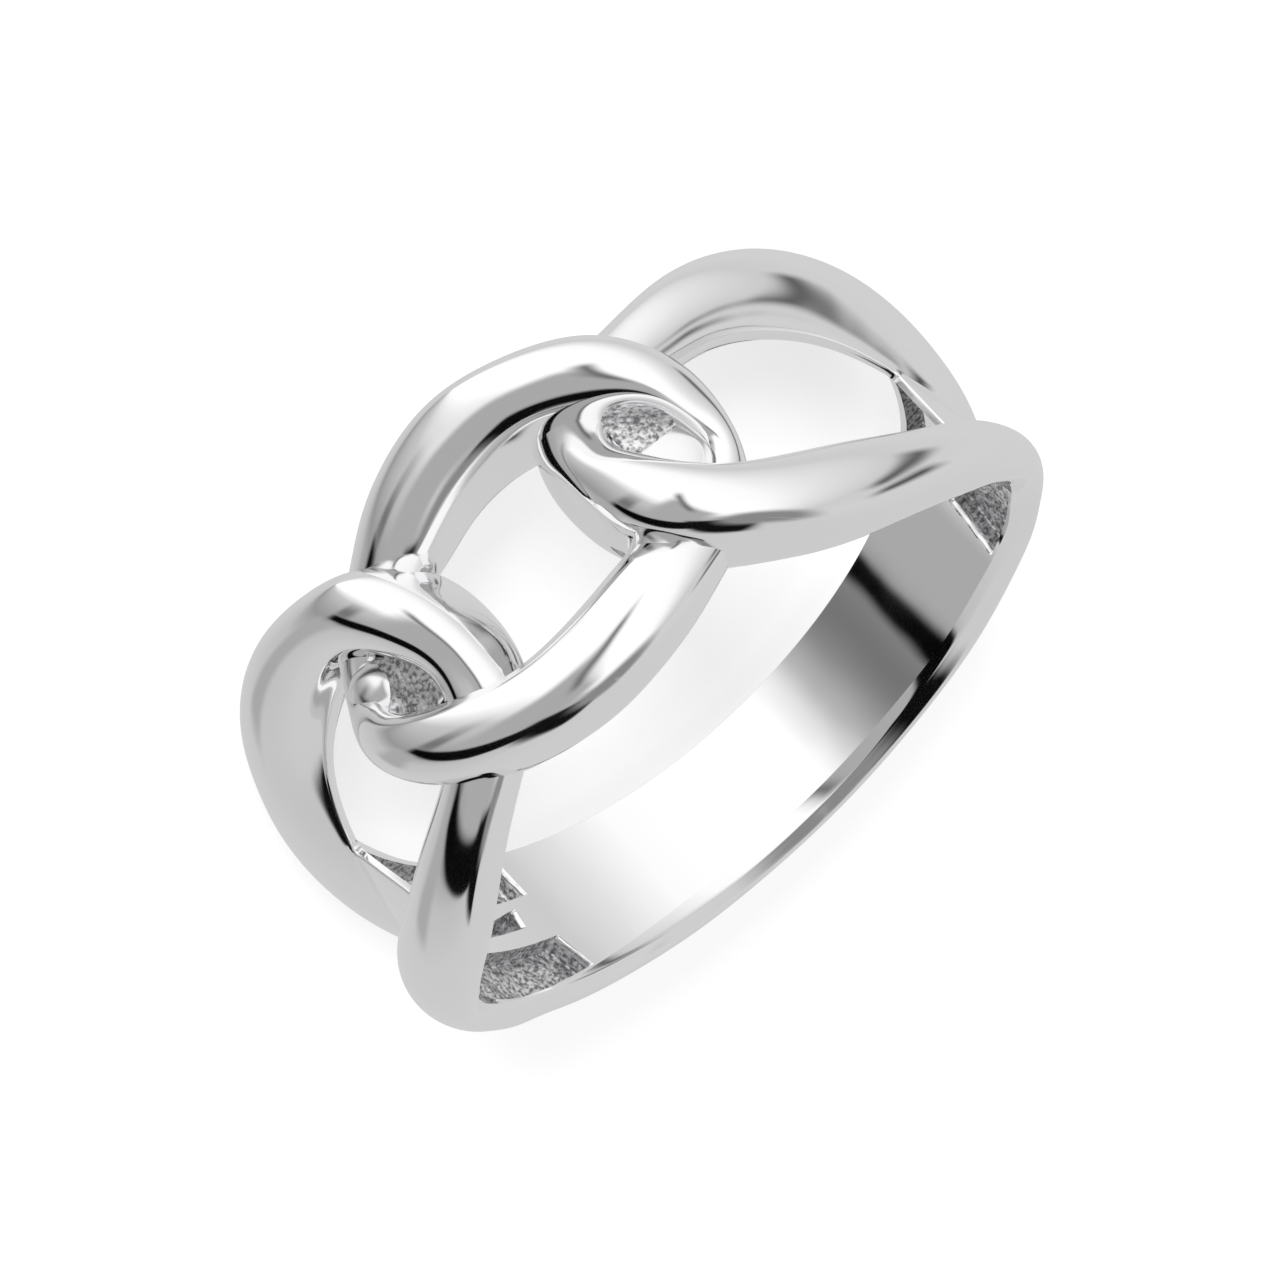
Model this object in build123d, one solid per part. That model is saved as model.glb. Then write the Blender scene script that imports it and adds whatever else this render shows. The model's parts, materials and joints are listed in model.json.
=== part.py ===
"""Chain link ring: three interlocked links cast in one piece with the band.

The ring is drawn with its axis along Z and its head facing -Y. It is then laid on its side, the
way it rests on a table, with the middle of its footprint at the origin.
"""
from build123d import *
from math import atan, cos, degrees, hypot, radians, sin
import os

# Driving dimensions, millimetres
bore_radius = 8.65            # finger hole, 17.3 mm across
middle_half_width = 4.15      # middle link, mid plane to outer edge
end_half_width = 4.40         # left and right links, mid plane to outer edge
opening_half_width = 1.75     # openings of the links, mid plane to inner edge
crossing_height = 2.45        # tallest crossing, above the bore
arm_lean = 0.30               # how far a flank leans over its height
band_half_width = 1.60        # back of the band, at the bore
shoulder_half_width = 2.87    # where the two arms of a link join the band, at the bore
band_bulge = 0.56             # how far the band's sides stand out beyond the bore edge, at the back
band_flank = 0.60             # height of the band's widest line
band_thickness = 1.45         # back of the band
web_height = 0.42             # low floor where the two arms of a link part
pit_height = 0.85             # rough floor inside each pair of interlocked tips
pocket_depth = 0.55           # hollows on the inside of the shoulders
core_depth = 0.40             # strands are drawn this far into the bore, then bored out

# Columns of the strand tables. Angles are degrees round the ring from the middle of the head,
# towards +X. An inner side is a share of opening_half_width, an outer side a share of the
# link's own half width, both from the mid plane and positive upwards. Leans are shares of
# arm_lean. Flanks and tops are heights above the bore, as shares of crossing_height.
# inner angle, inner side, outer angle, outer side, inner lean, inner flank, outer lean,
# outer flank, top
middle_near = [
    (-28.5, 0.29, -35.2, -0.02, 0.33, 0.29, 0.17, 0.37, 0.61),
    (-28.0, 0.46, -34.6, 0.24, 0.50, 0.29, 0.17, 0.29, 0.47),
    (-26.0, 0.63, -31.0, 0.51, 0.67, 0.29, 0.17, 0.29, 0.45),
    (-21.5, 0.71, -25.5, 0.70, 0.83, 0.33, 0.17, 0.33, 0.49),
    (-15.5, 0.77, -19.0, 0.82, 1.00, 0.37, 0.17, 0.41, 0.59),
    (-9.0, 0.86, -12.0, 0.92, 1.13, 0.41, 0.17, 0.45, 0.67),
    (0.0, 0.98, 0.0, 1.00, 1.13, 0.43, 0.17, 0.49, 0.73),
    (9.0, 0.96, 9.0, 0.97, 1.13, 0.47, 0.17, 0.57, 0.84),
    (15.5, 0.74, 19.0, 0.83, 1.00, 0.53, 0.27, 0.69, 0.96),
    (21.5, 0.43, 27.0, 0.63, 0.67, 0.61, 0.33, 0.71, 1.00),
    (26.0, 0.06, 32.7, 0.30, 0.50, 0.49, 0.33, 0.57, 0.88),
    (28.5, -0.29, 35.2, -0.02, 0.50, 0.29, 0.33, 0.41, 0.65),
]
middle_far = [
    (28.5, -0.29, 35.2, -0.02, 0.50, 0.29, 0.33, 0.41, 0.65),
    (28.0, -0.46, 34.6, -0.24, 0.50, 0.29, 0.17, 0.29, 0.47),
    (26.0, -0.63, 31.0, -0.51, 0.67, 0.29, 0.17, 0.24, 0.41),
    (21.5, -0.71, 25.5, -0.66, 0.83, 0.29, 0.17, 0.24, 0.41),
    (15.5, -0.77, 19.0, -0.76, 1.00, 0.29, 0.17, 0.27, 0.45),
    (9.0, -0.83, 12.0, -0.87, 1.13, 0.35, 0.17, 0.35, 0.57),
    (0.0, -0.98, 0.0, -0.99, 1.13, 0.41, 0.17, 0.44, 0.71),
    (-9.0, -0.96, -9.0, -0.96, 1.13, 0.47, 0.17, 0.55, 0.82),
    (-15.5, -0.74, -19.0, -0.84, 1.00, 0.57, 0.17, 0.65, 0.94),
    (-21.5, -0.43, -27.0, -0.63, 0.67, 0.61, 0.17, 0.69, 0.98),
    (-26.0, -0.06, -32.7, -0.30, 0.50, 0.49, 0.17, 0.57, 0.86),
    (-28.5, 0.29, -35.2, -0.02, 0.33, 0.29, 0.17, 0.37, 0.61),
]
left_link = [
    (104.0, 0.17, 104.0, -0.61, 0.00, 0.35, -0.97, 0.22, 0.41),
    (95.0, 0.34, 95.0, -0.65, 0.00, 0.22, -1.17, 0.24, 0.45),
    (80.0, 0.17, 80.0, -0.81, 0.33, 0.16, -0.50, 0.24, 0.45),
    (65.0, -0.39, 65.0, -0.91, 0.67, 0.20, 0.17, 0.24, 0.48),
    (54.0, -0.82, 55.0, -0.97, 0.93, 0.22, 0.27, 0.29, 0.54),
    (45.0, -0.99, 45.0, -0.98, 1.00, 0.25, 0.27, 0.35, 0.62),
    (35.0, -1.02, 34.0, -0.92, 1.00, 0.33, 0.27, 0.43, 0.71),
    (28.0, -0.83, 24.0, -0.78, 1.00, 0.45, 0.27, 0.55, 0.84),
    (24.0, -0.51, 15.0, -0.59, 0.83, 0.57, 0.50, 0.59, 0.92),
    (21.5, 0.00, 9.2, -0.27, 0.83, 0.49, 1.17, 0.51, 0.80),
    (21.5, 0.34, 8.0, 0.05, 0.83, 0.37, 1.40, 0.39, 0.63),
    (24.0, 0.63, 9.5, 0.34, 0.83, 0.33, 1.27, 0.33, 0.53),
    (29.0, 0.83, 16.0, 0.61, 0.83, 0.24, 0.40, 0.31, 0.49),
    (36.0, 0.97, 26.0, 0.78, 1.00, 0.24, 0.17, 0.33, 0.50),
    (45.0, 1.03, 40.0, 0.93, 1.00, 0.24, 0.17, 0.35, 0.54),
    (54.0, 1.03, 52.0, 0.99, 1.00, 0.22, 0.17, 0.33, 0.56),
    (65.0, 0.86, 65.0, 0.95, 0.83, 0.20, -0.17, 0.27, 0.53),
    (80.0, 0.54, 80.0, 0.81, 0.33, 0.16, -0.83, 0.24, 0.50),
    (95.0, 0.34, 95.0, 0.65, 0.00, 0.22, -1.33, 0.24, 0.47),
    (104.0, 0.23, 104.0, 0.61, 0.00, 0.35, -0.97, 0.22, 0.41),
]
right_link = [
    (-108.0, 0.51, -108.0, 0.56, 0.00, 0.35, -0.97, 0.22, 0.40),
    (-100.0, 0.69, -100.0, 0.59, 0.00, 0.20, -1.50, 0.24, 0.43),
    (-90.0, 0.86, -90.0, 0.70, 0.33, 0.16, -1.33, 0.24, 0.43),
    (-78.0, 1.06, -78.0, 0.85, 0.67, 0.18, -0.50, 0.24, 0.45),
    (-66.0, 1.23, -66.0, 0.93, 1.00, 0.20, 0.17, 0.27, 0.51),
    (-55.0, 1.27, -55.0, 0.98, 1.00, 0.22, 0.17, 0.33, 0.57),
    (-45.0, 1.17, -45.0, 1.00, 1.00, 0.29, 0.17, 0.39, 0.66),
    (-35.0, 1.00, -34.0, 0.95, 1.00, 0.39, 0.17, 0.49, 0.78),
    (-28.0, 0.83, -24.0, 0.81, 1.00, 0.49, 0.17, 0.61, 0.92),
    (-24.0, 0.51, -15.0, 0.60, 0.83, 0.61, 0.40, 0.69, 1.00),
    (-21.5, 0.00, -9.2, 0.27, 0.83, 0.53, 1.13, 0.53, 0.86),
    (-21.5, -0.34, -8.0, -0.05, 0.83, 0.37, 1.40, 0.37, 0.65),
    (-24.0, -0.63, -9.5, -0.34, 0.83, 0.33, 1.00, 0.33, 0.53),
    (-29.0, -0.83, -16.0, -0.61, 0.83, 0.24, 0.40, 0.31, 0.49),
    (-36.0, -0.91, -26.0, -0.72, 1.00, 0.22, 0.17, 0.24, 0.45),
    (-46.0, -0.98, -42.0, -0.86, 1.00, 0.24, 0.17, 0.27, 0.47),
    (-57.0, -0.83, -55.0, -0.92, 0.93, 0.22, 0.17, 0.27, 0.50),
    (-69.0, -0.51, -68.0, -0.90, 0.67, 0.18, 0.17, 0.25, 0.48),
    (-80.0, -0.06, -80.0, -0.82, 0.50, 0.16, -0.50, 0.24, 0.47),
    (-100.0, 0.46, -100.0, -0.63, 0.00, 0.20, -1.17, 0.24, 0.44),
    (-108.0, 0.34, -108.0, -0.58, 0.00, 0.35, -0.90, 0.22, 0.40),
]

# Band: angle, spread from the back width (0) to the shoulder width (1), bulge as a share of
# band_bulge, flank as a share of band_flank, top as a share of band_thickness
band = [
    (88.0, 0.511, 0.589, 0.60, 0.30),
    (96.0, 0.978, 0.589, 0.85, 0.52),
    (104.0, 0.870, 0.589, 1.00, 0.78),
    (115.0, 0.696, 0.589, 1.00, 0.86),
    (125.0, 0.425, 0.750, 1.00, 0.91),
    (140.0, 0.173, 0.893, 1.00, 0.97),
    (160.0, 0.031, 0.982, 1.00, 1.00),
    (180.0, 0.000, 1.000, 1.00, 1.00),
    (200.0, 0.024, 0.964, 1.00, 1.00),
    (220.0, 0.157, 0.857, 1.00, 0.97),
    (235.0, 0.394, 0.714, 1.00, 0.90),
    (245.0, 0.565, 0.589, 1.00, 0.80),
    (252.0, 0.674, 0.589, 1.00, 0.75),
    (262.0, 0.728, 0.589, 0.85, 0.50),
    (268.0, 0.457, 0.589, 0.60, 0.30),
]

# Floors where the arms part: lower angle, lower side, upper angle, upper side. Sides are shares
# of opening_half_width.
left_web = [(66.0, -0.45, 53.5, 0.88), (78.0, -0.34, 71.0, 0.88), (97.0, -0.34, 97.0, 0.80)]
right_web = [(-79.0, -0.20, -65.5, 1.17), (-88.0, -0.06, -82.0, 1.12), (-102.0, 0.10, -102.0, 1.05)]

# Pits between interlocked tips: angle, side as a share of opening_half_width, height as a share
# of pit_height
pits = [(24.5, -0.05, 1.00), (-24.0, -0.15, 1.10)]
pit_reach = 2.6               # pit floor, round the ring
pit_width = 2.4               # pit floor, along the ring's axis

# Pockets: angle, lower side, upper side. Sides are shares of shoulder_half_width.
pockets = [
    [(89.0, 0.40, 0.83), (106.0, 0.39, 0.76), (124.0, 0.33, 0.60)],
    [(98.0, 0.00, 0.18), (108.0, 0.00, 0.17), (119.0, 0.00, 0.16)],
    [(89.0, -0.83, -0.36), (106.0, -0.76, -0.28), (124.0, -0.60, -0.15)],
    [(-91.0, 0.50, 0.82), (-106.0, 0.34, 0.73), (-125.0, 0.08, 0.62)],
    [(-101.0, 0.02, 0.18), (-110.0, -0.05, 0.10), (-119.0, -0.10, 0.00)],
    [(-91.0, -0.82, -0.25), (-106.0, -0.74, -0.26), (-125.0, -0.60, -0.24)],
]


def on_ring(angle, side, height):
    """Point at an angle round the ring, a distance from its mid plane and a height over the bore."""
    reach = bore_radius + height
    return Vector(reach * sin(radians(angle)), -reach * cos(radians(angle)), side)


def section(angle_a, side_a, angle_b, side_b, lean_a, flank_a, lean_b, flank_b, top):
    """Cross section of a strand: two leaning flanks on the bore and a domed top, in millimetres."""
    foot_a = on_ring(angle_a, side_a, 0)
    foot_b = on_ring(angle_b, side_b, 0)
    across = (foot_b - foot_a).normalized()
    upward = on_ring((angle_a + angle_b) / 2, 0, 0).normalized()
    plane = Plane(origin=(foot_a + foot_b) / 2, x_dir=across, z_dir=across.cross(upward))
    width = hypot(radians(angle_b - angle_a) * bore_radius, side_b - side_a)

    def spot(distance, height):
        share = distance / width
        angle = angle_a + (angle_b - angle_a) * share
        side = side_a + (side_b - side_a) * share
        offset = on_ring(angle, side, height) - plane.origin
        return Vector(offset.dot(across), offset.dot(upward))

    crease_a = spot(lean_a, flank_a)
    crease_b = spot(width - lean_b, flank_b)
    crown = spot((lean_a + width - lean_b) / 2, top)
    sunk_a = crease_a + (spot(0, 0) - crease_a) * (1 + core_depth / flank_a)
    sunk_b = crease_b + (spot(width, 0) - crease_b) * (1 + core_depth / flank_b)
    outline = Polyline(crease_b, sunk_b, sunk_a, crease_a) + ThreePointArc(crease_a, crown, crease_b)
    return plane * make_face(outline)


def strand(table, half_width):
    """Loft one stretch of a link through its table."""
    faces = []
    for angle_a, side_a, angle_b, side_b, lean_a, flank_a, lean_b, flank_b, top in table:
        faces.append(section(
            angle_a, side_a * opening_half_width,
            angle_b, side_b * half_width,
            lean_a * arm_lean, flank_a * crossing_height,
            lean_b * arm_lean, flank_b * crossing_height,
            top * crossing_height,
        ))
    return loft(faces)


def band_solid():
    """Loft the band from shoulder to shoulder round the back."""
    faces = []
    for angle, spread, bulge, flank, top in band:
        side = band_half_width + spread * (shoulder_half_width - band_half_width)
        faces.append(section(
            angle, -side, angle, side,
            -bulge * band_bulge, flank * band_flank,
            -bulge * band_bulge, flank * band_flank,
            top * band_thickness,
        ))
    return loft(faces)


def web(table):
    """Low floor between the two arms of an end link, from the opening to the band."""
    faces = []
    for angle_a, side_a, angle_b, side_b in table:
        faces.append(section(
            angle_a, side_a * opening_half_width,
            angle_b, side_b * opening_half_width,
            0, web_height * 0.9, 0, web_height * 0.9, web_height,
        ))
    return loft(faces)


def pit_floor(angle, side, share):
    """Low block that closes the small hole inside two interlocked tips."""
    height = share * pit_height
    middle = on_ring(angle, side * opening_half_width, (height - core_depth) / 2)
    block = Box(height + core_depth, pit_reach, pit_width)
    return Location(middle, (0, 0, angle - 90)) * block


def pocket(table):
    """Hollow on the inside of a shoulder."""
    faces = []
    for angle, low, high in table:
        faces.append(section(
            angle, low * shoulder_half_width, angle, high * shoulder_half_width,
            0, pocket_depth * 0.9, 0, pocket_depth * 0.9, pocket_depth,
        ))
    return loft(faces)


def casting():
    """The whole ring, upright on its axis."""
    ring = band_solid()
    ring += strand(left_link, end_half_width)
    ring += strand(right_link, end_half_width)
    ring += strand(middle_near, middle_half_width)
    ring += strand(middle_far, middle_half_width)
    ring += web(left_web)
    ring += web(right_web)
    for row in pits:
        ring += pit_floor(*row)
    ring -= Cylinder(bore_radius, 4 * end_half_width)
    for table in pockets:
        ring -= pocket(table)
    return ring


def lay_down(ring):
    """Lean the ring until the arms and the back of the band touch the table together."""
    reach = 4 * bore_radius
    front = Pos(0, -reach / 2, 0) * Box(reach, reach, reach)
    arms = ring & front
    back = ring - front
    tilt = 0.0
    for _ in range(6):
        low_arms = (Rot(tilt, 0, 0) * arms).bounding_box().min
        low_back = (Rot(tilt, 0, 0) * back).bounding_box().min
        gap = low_back.Z - low_arms.Z
        tilt -= degrees(atan(gap / (1.8 * bore_radius)))
    return Rot(tilt, 0, 0) * ring, tilt


ring = casting()
ring, tilt = lay_down(ring)
box = ring.bounding_box()
shift = Pos(-(box.min.X + box.max.X) / 2, -(box.min.Y + box.max.Y) / 2, -box.min.Z)
ring = shift * ring
ring.label = "chain_link_ring"
print("leans", round(tilt, 3), "degrees, moved", shift.position)

os.makedirs("parts", exist_ok=True)
export_step(ring, "parts/chain_link_ring.step")
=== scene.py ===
import json
import math

import bmesh
import bpy
import numpy as np
from mathutils import Matrix, Vector, noise
from mathutils.bvhtree import BVHTree
from mathutils.interpolate import poly_3d_calc


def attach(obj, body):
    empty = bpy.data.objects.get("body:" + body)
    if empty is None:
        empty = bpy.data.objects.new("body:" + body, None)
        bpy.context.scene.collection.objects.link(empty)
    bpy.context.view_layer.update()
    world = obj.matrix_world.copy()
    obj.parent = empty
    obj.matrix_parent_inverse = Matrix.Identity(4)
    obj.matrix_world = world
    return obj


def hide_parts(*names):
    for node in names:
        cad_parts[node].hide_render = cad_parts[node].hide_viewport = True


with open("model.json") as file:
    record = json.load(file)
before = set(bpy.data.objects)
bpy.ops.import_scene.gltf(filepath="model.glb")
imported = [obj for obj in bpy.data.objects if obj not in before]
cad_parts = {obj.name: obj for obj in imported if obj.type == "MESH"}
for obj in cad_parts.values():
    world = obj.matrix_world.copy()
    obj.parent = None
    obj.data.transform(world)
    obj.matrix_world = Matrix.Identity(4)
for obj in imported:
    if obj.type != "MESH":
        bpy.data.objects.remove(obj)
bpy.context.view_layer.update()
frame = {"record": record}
print("frame loaded")

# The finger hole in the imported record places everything: its centre, axis and radius
mm = 0.001                     # metres
fingerHole = next(m for m in frame["record"]["mounts"] if m["name"] == "finger_hole")
boreRadius = fingerHole["dims"]["r_mm"]
ringAxis = Vector(fingerHole["axis"]).normalized()
ringSide = Vector((1, 0, 0))
ringBack = ringAxis.cross(ringSide)
ringTurn = Matrix((ringSide, ringBack, ringAxis)).transposed()
ringPlace = Matrix.Translation(fingerHole["pos_m"]) @ ringTurn.to_4x4()


def onRing(angle, side, height):
    # degrees round the ring from the middle of its front, then millimetres
    reach = boreRadius + height
    turn = math.radians(angle)
    return ringPlace @ (Vector((reach * math.sin(turn), -reach * math.cos(turn), side)) * mm)


polished, cast, satin = 0, 1, 2          # material slots of the ring


# Strands

# sizes in millimetres
strandShape = {
    "coreDepth": 0.50,      # feet run this far into the bore before it is cut
    "coreInset": 0.35,      # and draw in by this on the way
    "footInset": 0.14,      # small bevel where a flank meets the bore
    "footSink": 0.06,
    "footHeight": 0.20,
    "flankShares": (0.4, 0.6),             # on a low flank, shares of its height for both bends
    "cornerGap": 0.34,      # how softly an outer flank turns into the dome
    "innerGap": 0.15,       # and a low inner flank
    "innerSoftness": (0.5, 0.16),          # a high one takes this share of its height, less this
    "armDome": 7,           # points across the dome of an arm
    "rimInset": 0.45,       # the band's bevel starts this far in from the bore's edge
    "rimSink": 0.23,        # and this deep in the bore
    "rimRise": 0.50,        # slope of that bevel
    "rimShare": 0.65,       # place of its middle point
    "bulgeShares": (0.3, 0.4),             # place of the point between the rim and the widest line
    "plainRim": 0.02,       # rim of the lower side, which has no bevel to speak of
    "sideHeight": 0.58,     # height of the widest line of the band's sides
    "bandDome": 19,         # points across the dome of the band
    "valleyShares": (0.10, 0.5, 0.90),     # places of the points across a valley
    "mergeInset": 0.10,     # where an arm merges, the band's bevel starts this far inside its edge
    "mergeRim": 0.08,
    "mergeRise": 0.02,      # and the band's crown lies this far above the arms'
    "ringGap": 0.50,        # spacing of the rings of the cage along a strand
    "bandGap": 0.65,        # and along the band
    "weldGap": 0.002,       # points nearer than this are one
    "smoothing": 2,         # subdivision levels
}

# inner angle, inner side, outer angle, outer side, inner lean, inner flank, outer lean, outer flank, top
middleRows = [
    (-28.5, 0.50, -35.2, -0.10, 0.10, 0.70, 0.05, 0.90, 1.50),
    (-28.0, 0.80, -34.6, 1.00, 0.15, 0.70, 0.05, 0.70, 1.15),
    (-26.0, 1.10, -31.0, 2.10, 0.20, 0.70, 0.05, 0.70, 1.10),
    (-21.5, 1.25, -25.5, 2.90, 0.25, 0.80, 0.05, 0.80, 1.20),
    (-15.5, 1.35, -19.0, 3.40, 0.30, 0.90, 0.05, 1.00, 1.45),
    (-9.0, 1.50, -12.0, 3.83, 0.34, 1.00, 0.05, 1.10, 1.65),
    (0.0, 1.72, 0.0, 4.15, 0.34, 1.06, 0.05, 1.20, 1.80),
    (9.0, 1.68, 9.0, 4.01, 0.34, 1.15, 0.05, 1.40, 2.05),
    (15.5, 1.30, 19.0, 3.46, 0.30, 1.30, 0.08, 1.70, 2.35),
    (21.5, 0.75, 27.0, 2.60, 0.20, 1.50, 0.10, 1.75, 2.45),
    (26.0, 0.10, 32.7, 1.25, 0.15, 1.20, 0.10, 1.40, 2.15),
    (28.5, -0.50, 35.2, -0.10, 0.15, 0.70, 0.10, 1.00, 1.60),
    (28.0, -0.80, 34.6, -1.00, 0.15, 0.70, 0.05, 0.70, 1.15),
    (26.0, -1.10, 31.0, -2.10, 0.20, 0.70, 0.05, 0.60, 1.00),
    (21.5, -1.25, 25.5, -2.75, 0.25, 0.70, 0.05, 0.60, 1.00),
    (15.5, -1.35, 19.0, -3.22, 0.30, 0.70, 0.05, 0.65, 1.10),
    (9.0, -1.45, 12.0, -3.70, 0.34, 0.85, 0.05, 0.85, 1.40),
    (0.0, -1.72, 0.0, -4.20, 0.34, 1.00, 0.05, 1.08, 1.73),
    (-9.0, -1.68, -9.0, -4.10, 0.34, 1.15, 0.05, 1.35, 2.00),
    (-15.5, -1.30, -19.0, -3.48, 0.30, 1.40, 0.05, 1.60, 2.30),
    (-21.5, -0.75, -27.0, -2.60, 0.20, 1.50, 0.05, 1.70, 2.40),
    (-26.0, -0.10, -32.7, -1.25, 0.15, 1.20, 0.05, 1.40, 2.10),
]
leftTipRows = [
    (54.0, -1.43, 55.0, -4.25, 0.34, 0.55, 0.08, 0.70, 1.33),
    (45.0, -1.73, 45.0, -4.32, 0.30, 0.62, 0.08, 0.85, 1.52),
    (35.0, -1.78, 34.0, -4.05, 0.30, 0.80, 0.08, 1.05, 1.75),
    (28.0, -1.45, 24.0, -3.42, 0.30, 1.10, 0.08, 1.35, 2.05),
    (24.0, -0.90, 15.0, -2.60, 0.25, 1.40, 0.15, 1.45, 2.25),
    (21.5, 0.00, 9.2, -1.20, 0.25, 1.20, 0.35, 1.25, 1.95),
    (21.5, 0.60, 8.0, 0.20, 0.25, 0.90, 0.42, 0.95, 1.55),
    (24.0, 1.10, 9.5, 1.50, 0.25, 0.80, 0.38, 0.80, 1.30),
    (29.0, 1.45, 16.0, 2.70, 0.25, 0.60, 0.12, 0.75, 1.20),
    (36.0, 1.70, 26.0, 3.42, 0.30, 0.60, 0.05, 0.80, 1.22),
    (45.0, 1.80, 40.0, 4.10, 0.30, 0.60, 0.05, 0.85, 1.32),
    (52.5, 1.80, 50.0, 4.36, 0.30, 0.55, 0.05, 0.80, 1.37),
]
rightTipRows = [
    (-66.0, 2.12, -66.0, 4.12, 0.28, 0.50, 0.03, 0.66, 1.25),
    (-55.0, 2.22, -55.0, 4.33, 0.30, 0.55, 0.05, 0.80, 1.40),
    (-45.0, 2.05, -45.0, 4.40, 0.30, 0.70, 0.05, 0.95, 1.62),
    (-35.0, 1.75, -34.0, 4.20, 0.30, 0.95, 0.05, 1.20, 1.90),
    (-28.0, 1.45, -24.0, 3.55, 0.30, 1.20, 0.05, 1.50, 2.25),
    (-24.0, 0.90, -15.0, 2.65, 0.25, 1.50, 0.12, 1.70, 2.45),
    (-21.5, 0.00, -9.2, 1.20, 0.25, 1.30, 0.34, 1.30, 2.10),
    (-21.5, -0.60, -8.0, -0.20, 0.25, 0.90, 0.42, 0.90, 1.60),
    (-24.0, -1.10, -9.5, -1.50, 0.25, 0.80, 0.30, 0.80, 1.30),
    (-29.0, -1.45, -16.0, -2.70, 0.25, 0.60, 0.12, 0.75, 1.20),
    (-36.0, -1.60, -26.0, -3.15, 0.30, 0.55, 0.05, 0.60, 1.10),
    (-46.0, -1.72, -42.0, -3.80, 0.30, 0.60, 0.05, 0.65, 1.15),
    (-57.0, -1.45, -55.0, -4.05, 0.28, 0.55, 0.05, 0.65, 1.22),
    (-69.0, -0.80, -68.0, -3.95, 0.21, 0.45, 0.00, 0.62, 1.18),
]
# Shoulders, from the fork to the band: the two arms of each end link, upper and lower as the ring lies
leftUpperRows = [
    (58.5, 1.68, 57.5, 4.32, 0.27, 0.50, 0.02, 0.74, 1.35),
    (67.0, 1.38, 67.0, 4.10, 0.22, 0.44, -0.08, 0.64, 1.29),
    (77.0, 1.06, 77.0, 3.72, 0.14, 0.40, -0.20, 0.60, 1.24),
    (88.0, 0.82, 88.0, 3.24, 0.05, 0.46, -0.30, 0.60, 1.22),
    (98.0, 0.72, 98.0, 2.90, 0.00, 0.58, -0.32, 0.60, 1.22),
    (106.0, 0.66, 106.0, 2.70, 0.00, 0.80, -0.34, 0.60, 1.21),
]
leftLowerRows = [
    (67.0, -0.52, 67.0, -3.96, 0.20, 0.40, 0.02, 0.60, 1.16),
    (73.0, -0.12, 73.0, -3.78, 0.15, 0.38, -0.06, 0.60, 1.13),
    (80.0, 0.18, 80.0, -3.52, 0.10, 0.40, -0.15, 0.60, 1.10),
    (89.0, 0.38, 89.0, -3.12, 0.05, 0.46, -0.25, 0.60, 1.08),
    (98.0, 0.44, 98.0, -2.67, 0.00, 0.58, -0.24, 0.60, 1.09),
    (106.0, 0.42, 106.0, -2.23, 0.00, 0.80, -0.20, 0.60, 1.14),
]
rightUpperRows = [
    (-77.0, 1.86, -76.0, 3.76, 0.22, 0.42, -0.12, 0.61, 1.12),
    (-83.0, 1.72, -83.0, 3.48, 0.16, 0.40, -0.24, 0.60, 1.07),
    (-89.0, 1.55, -89.0, 3.19, 0.10, 0.41, -0.33, 0.60, 1.07),
    (-95.0, 1.38, -95.0, 2.92, 0.05, 0.46, -0.38, 0.60, 1.09),
    (-102.0, 1.19, -102.0, 2.65, 0.00, 0.58, -0.40, 0.60, 1.11),
    (-109.0, 1.06, -109.0, 2.46, 0.00, 0.78, -0.40, 0.60, 1.11),
]
rightLowerRows = [
    (-78.5, -0.05, -78.0, -3.68, 0.16, 0.36, -0.12, 0.60, 1.14),
    (-83.0, 0.28, -83.0, -3.50, 0.12, 0.37, -0.20, 0.60, 1.11),
    (-88.0, 0.52, -88.0, -3.24, 0.08, 0.41, -0.26, 0.60, 1.08),
    (-94.0, 0.72, -94.0, -2.85, 0.04, 0.44, -0.26, 0.60, 1.04),
    (-101.0, 0.82, -101.0, -2.30, 0.00, 0.56, -0.22, 0.60, 1.03),
    (-109.0, 0.84, -109.0, -1.90, 0.00, 0.78, -0.20, 0.60, 1.07),
]
# valley height between the arms, and how far they have merged into the band, one for each shoulder row
shoulderValleys = [(0.22, 0.00), (0.24, 0.00), (0.28, 0.00), (0.34, 0.00), (0.48, 0.08), (0.74, 0.55)]

# angle, upper and lower half width at the bore, how far the rim of the bevel and the bulge of
# the upper side lie outside it, bulge of the plain lower side, top
bandRows = [
    (113.0, 2.46, 2.03, 0.08, 0.36, 0.20, 1.23),
    (119.0, 2.34, 1.92, 0.10, 0.39, 0.20, 1.26),
    (127.0, 2.14, 1.80, 0.18, 0.49, 0.20, 1.31),
    (136.0, 1.94, 1.69, 0.25, 0.58, 0.21, 1.37),
    (147.0, 1.75, 1.60, 0.32, 0.68, 0.22, 1.41),
    (161.0, 1.64, 1.52, 0.35, 0.67, 0.22, 1.45),
    (180.0, 1.60, 1.49, 0.33, 0.63, 0.22, 1.46),
    (199.0, 1.62, 1.50, 0.28, 0.60, 0.22, 1.45),
    (213.0, 1.74, 1.53, 0.26, 0.56, 0.21, 1.41),
    (224.0, 1.84, 1.56, 0.26, 0.53, 0.20, 1.37),
    (234.0, 2.02, 1.60, 0.26, 0.49, 0.20, 1.29),
    (243.0, 2.24, 1.68, 0.28, 0.46, 0.20, 1.19),
]


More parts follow.
